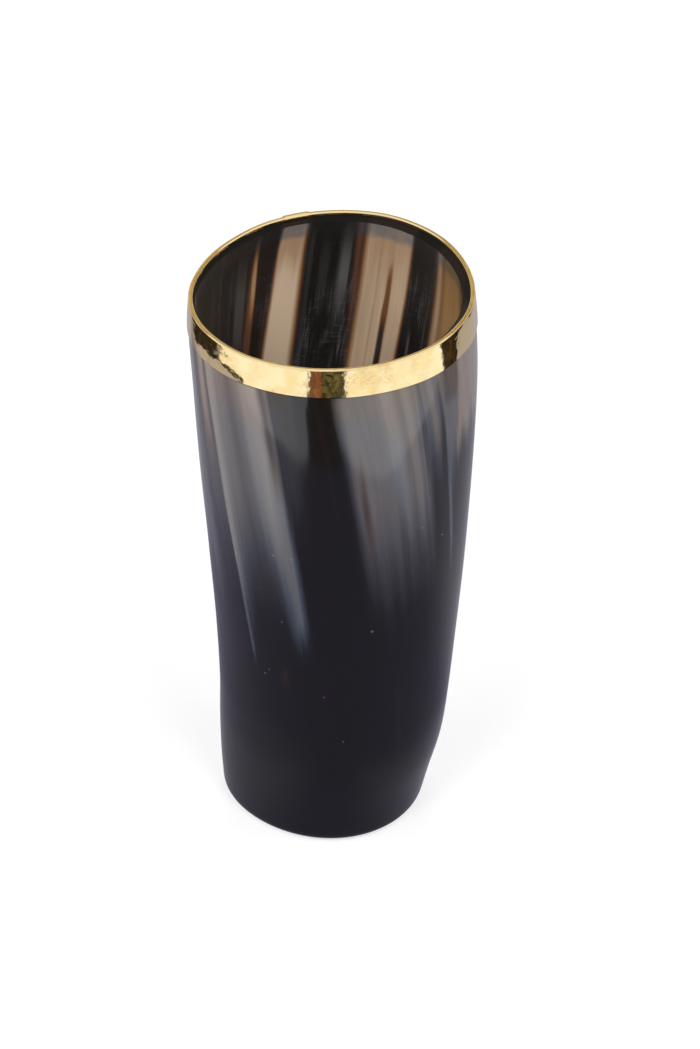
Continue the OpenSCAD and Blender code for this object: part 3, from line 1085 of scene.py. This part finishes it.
def cards():
    """What stands round the cup, as its walls mirror it. A card covers those that lie deeper."""
    card("table_card", round_points(TABLE_R), 0.8, table_glow())
    white = glow("white_panel", (1.2, 1.27, 1.38), (1.12, 1.08, 0.95), 7)
    card("left_panel", GAP_LEFT + [
        (-72, -307), (-99, -416), (-300, -1200), (-1200, -1200), (-1200, 30), (-334, 5),
        (-328, -45), (-302, -84), (-270, -126), (-245, -108), (-222, -110), (-205, -118),
        (-180, -130), (-154, -154), (-126, -173), (-93, -185), (-63, -194),
    ], 0.5, white)
    card("right_panel", GAP_RIGHT + [
        (61, -312), (80, -415), (260, -1200), (1200, -1200), (1200, 330), (300, 60), (290, 20),
        (278, -20), (269, -32), (254, -50), (241, -67), (218, -86), (186, -101), (163, -118),
        (136, -138), (87, -179),
    ], 0.5, white)
    near_gap = GAP_LEFT + [(-72, -304), (58, -304)] + GAP_RIGHT[::-1]
    card("near_gap", near_gap, 0.6, glow("near_gap", (0.14, 0.12, 0.095)))
    black = glow("black_card", (0.02, 0.017, 0.012), (0.055, 0.045, 0.025))
    card("warm_gap", [
        (-72, -304), (-99, -416), (-300, -1200), (-70, -1200), (-26, -424), (-17, -304),
    ], 0.5, glow("warm_gap", (0.16, 0.07, 0.045), (0.36, 0.16, 0.09), 30))
    card("dark_gap", [
        (-17, -304), (-26, -424), (-70, -1200), (260, -1200), (80, -415), (60, -304),
    ], 0.5, glow("dark_gap", (0.02, 0.02, 0.012), (0.2, 0.18, 0.1), 30))
    # The gap's three dark edges: where each lies near the cup, further off and far off
    for side, (near, middle, far) in {
        "left": ((-82, -70), (-110, -96), (-320, -285)),
        "middle": ((-20, -14), (-30, -22), (-80, -60)),
        "right": ((54, 64), (70, 84), (235, 275)),
    }.items():
        ends = [(near, -300), (middle, -416), (far, -1200)]
        corners = [(x[0], y) for x, y in ends] + [(x[1], y) for x, y in ends[::-1]]
        card(f"gap_{side}_edge", corners, 0.3, black)
    card("right_card", [
        (240, 12), (291, 2), (320, -6), (338, 3), (349, -10), (520, -20), (620, 200),
        (320, 330), (192, 240), (242, 195), (284, 156), (306, 116), (301, 98), (283, 104),
        (262, 94), (225, 78),
    ], 0.2, black)
    card("right_brown", [
        (300, 33), (318, 27), (335, 42), (331, 72), (313, 88), (301, 66),
    ], 0.1, glow("brown_card", (0.09, 0.05, 0.02), (0.03, 0.017, 0.007), 50))
    card("left_card", [
        (-222, 152), (-234, 139), (-257, 116), (-277, 89), (-294, 62), (-307, 40), (-322, 26),
        (-336, 20), (-520, 30), (-420, 320), (-280, 330), (-190, 222),
    ], 0.2, black)
    card("left_line", [
        (-336, 22), (-337, -46), (-315, -91), (-284, -136), (-256, -120), (-287, -73),
        (-311, -36), (-312, 22),
    ], 0.2, black)
    # What hangs above, as the rim mirrors it
    card("ceiling", round_points(CEILING_R), -CEILING_Z, glow("ceiling", (1, 1.02, 1.05)))
    card("ceiling_back", [
        (-CEILING_R, 900), (CEILING_R, 900), (CEILING_R, CEILING_R), (-CEILING_R, CEILING_R),
    ], 1 - CEILING_Z, glow("ceiling_back", (0.26, 0.2, 0.09), (0.7, 0.56, 0.3), 3))


def floor():
    """White floor that keeps the cup's shadow and is brighter far off. From below it is
    clear."""
    material, nodes = bare_material("floor")
    away = nodes.distance(nodes.place_m())
    lift = nodes.times(nodes.looked_at(), nodes.step(away, 0.45, 1.4, 0.66, 1))
    plain = nodes.add("ShaderNodeBsdfDiffuse", {"Color": (0.35, 0.35, 0.35, 1)}).outputs[0]
    lit = nodes.add("ShaderNodeEmission", {"Strength": lift}).outputs[0]
    both = nodes.add("ShaderNodeAddShader", {0: plain, 1: lit}).outputs[0]
    clear = nodes.add("ShaderNodeBsdfTransparent").outputs[0]
    behind = nodes.add("ShaderNodeNewGeometry").outputs["Backfacing"]
    mixed = nodes.add("ShaderNodeMixShader", {0: behind, 1: both, 2: clear}).outputs[0]
    nodes.add("ShaderNodeOutputMaterial", {"Surface": mixed})
    piece = flat("floor", round_points(TABLE_R), 0, material)
    piece.visible_glossy = False


def world():
    """White all round where it is seen, and softer where it lights the cup."""
    made = bpy.data.worlds.new("studio")
    bpy.context.scene.world = made
    made.use_nodes = True
    nodes = Nodes(made.node_tree)
    background = made.node_tree.nodes["Background"]
    background.inputs["Color"].default_value = (1, 1, 1, 1)
    strength = nodes.blend(nodes.looked_at(), WORLD_LIGHT, 1.0)
    nodes.tree.links.new(strength, background.inputs["Strength"])


def lamp(name, place_mm, size, watts):
    """Large soft lamp that faces the cup."""
    light = bpy.data.lights.new(name, "AREA")
    light.shape = "DISK"
    light.size = size * MM
    light.energy = watts
    holder = new_object(name, light)
    holder.location = Vector(place_mm) * MM
    aim = Vector((0, 0, CUP_H / 2)) * MM - holder.location
    holder.rotation_euler = aim.to_track_quat("-Z", "Y").to_euler()
    holder.visible_glossy = False


def camera():
    """A long lens that looks down on the cup from in front, as in the photograph."""
    data = bpy.data.cameras.new("camera")
    data.sensor_fit = "VERTICAL"
    data.sensor_height = SENSOR_H
    data.lens = LENS
    holder = new_object("camera", data)
    holder.location = Vector(CAMERA_AT) * MM
    holder.rotation_euler = (math.radians(90 - LOOKS_DOWN), 0, 0)
    bpy.context.scene.camera = holder


def main():
    bpy.context.scene.view_settings.view_transform = "Standard"
    camera()
    world()
    floor()
    cards()
    for name, place_mm, size, watts in LAMPS:
        lamp(name, place_mm, size, watts)
    fibre = fibre_group()
    groups = {
        "fibre": fibre, "figure": figure_group(fibre, streak_group()),
        "speck": speck_group(), "wear": wear_group(),
    }
    pieces = [
        (horn_tube(), "horn_body", "horn", [horn_outside, horn_inside, shaded_horn_cut]),
        (foot_disc(), "base_disc", "disc_horn", [disc_horn]),
        (resin_bead(), "base_seal", "resin", [set_resin]),
        (collar_bond(), "rim_bond", "adhesive", [set_adhesive]),
        (brass_collar(), "rim_band", "brass", [sheet_brass]),
        (lap_solder(), "rim_solder", "solder", [soft_solder]),
    ]
    for piece, node, slot, finishes in pieces:
        for make in finishes:
            piece.data.materials.append(make(groups))
        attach(piece, "root")
        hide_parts(node)


main()
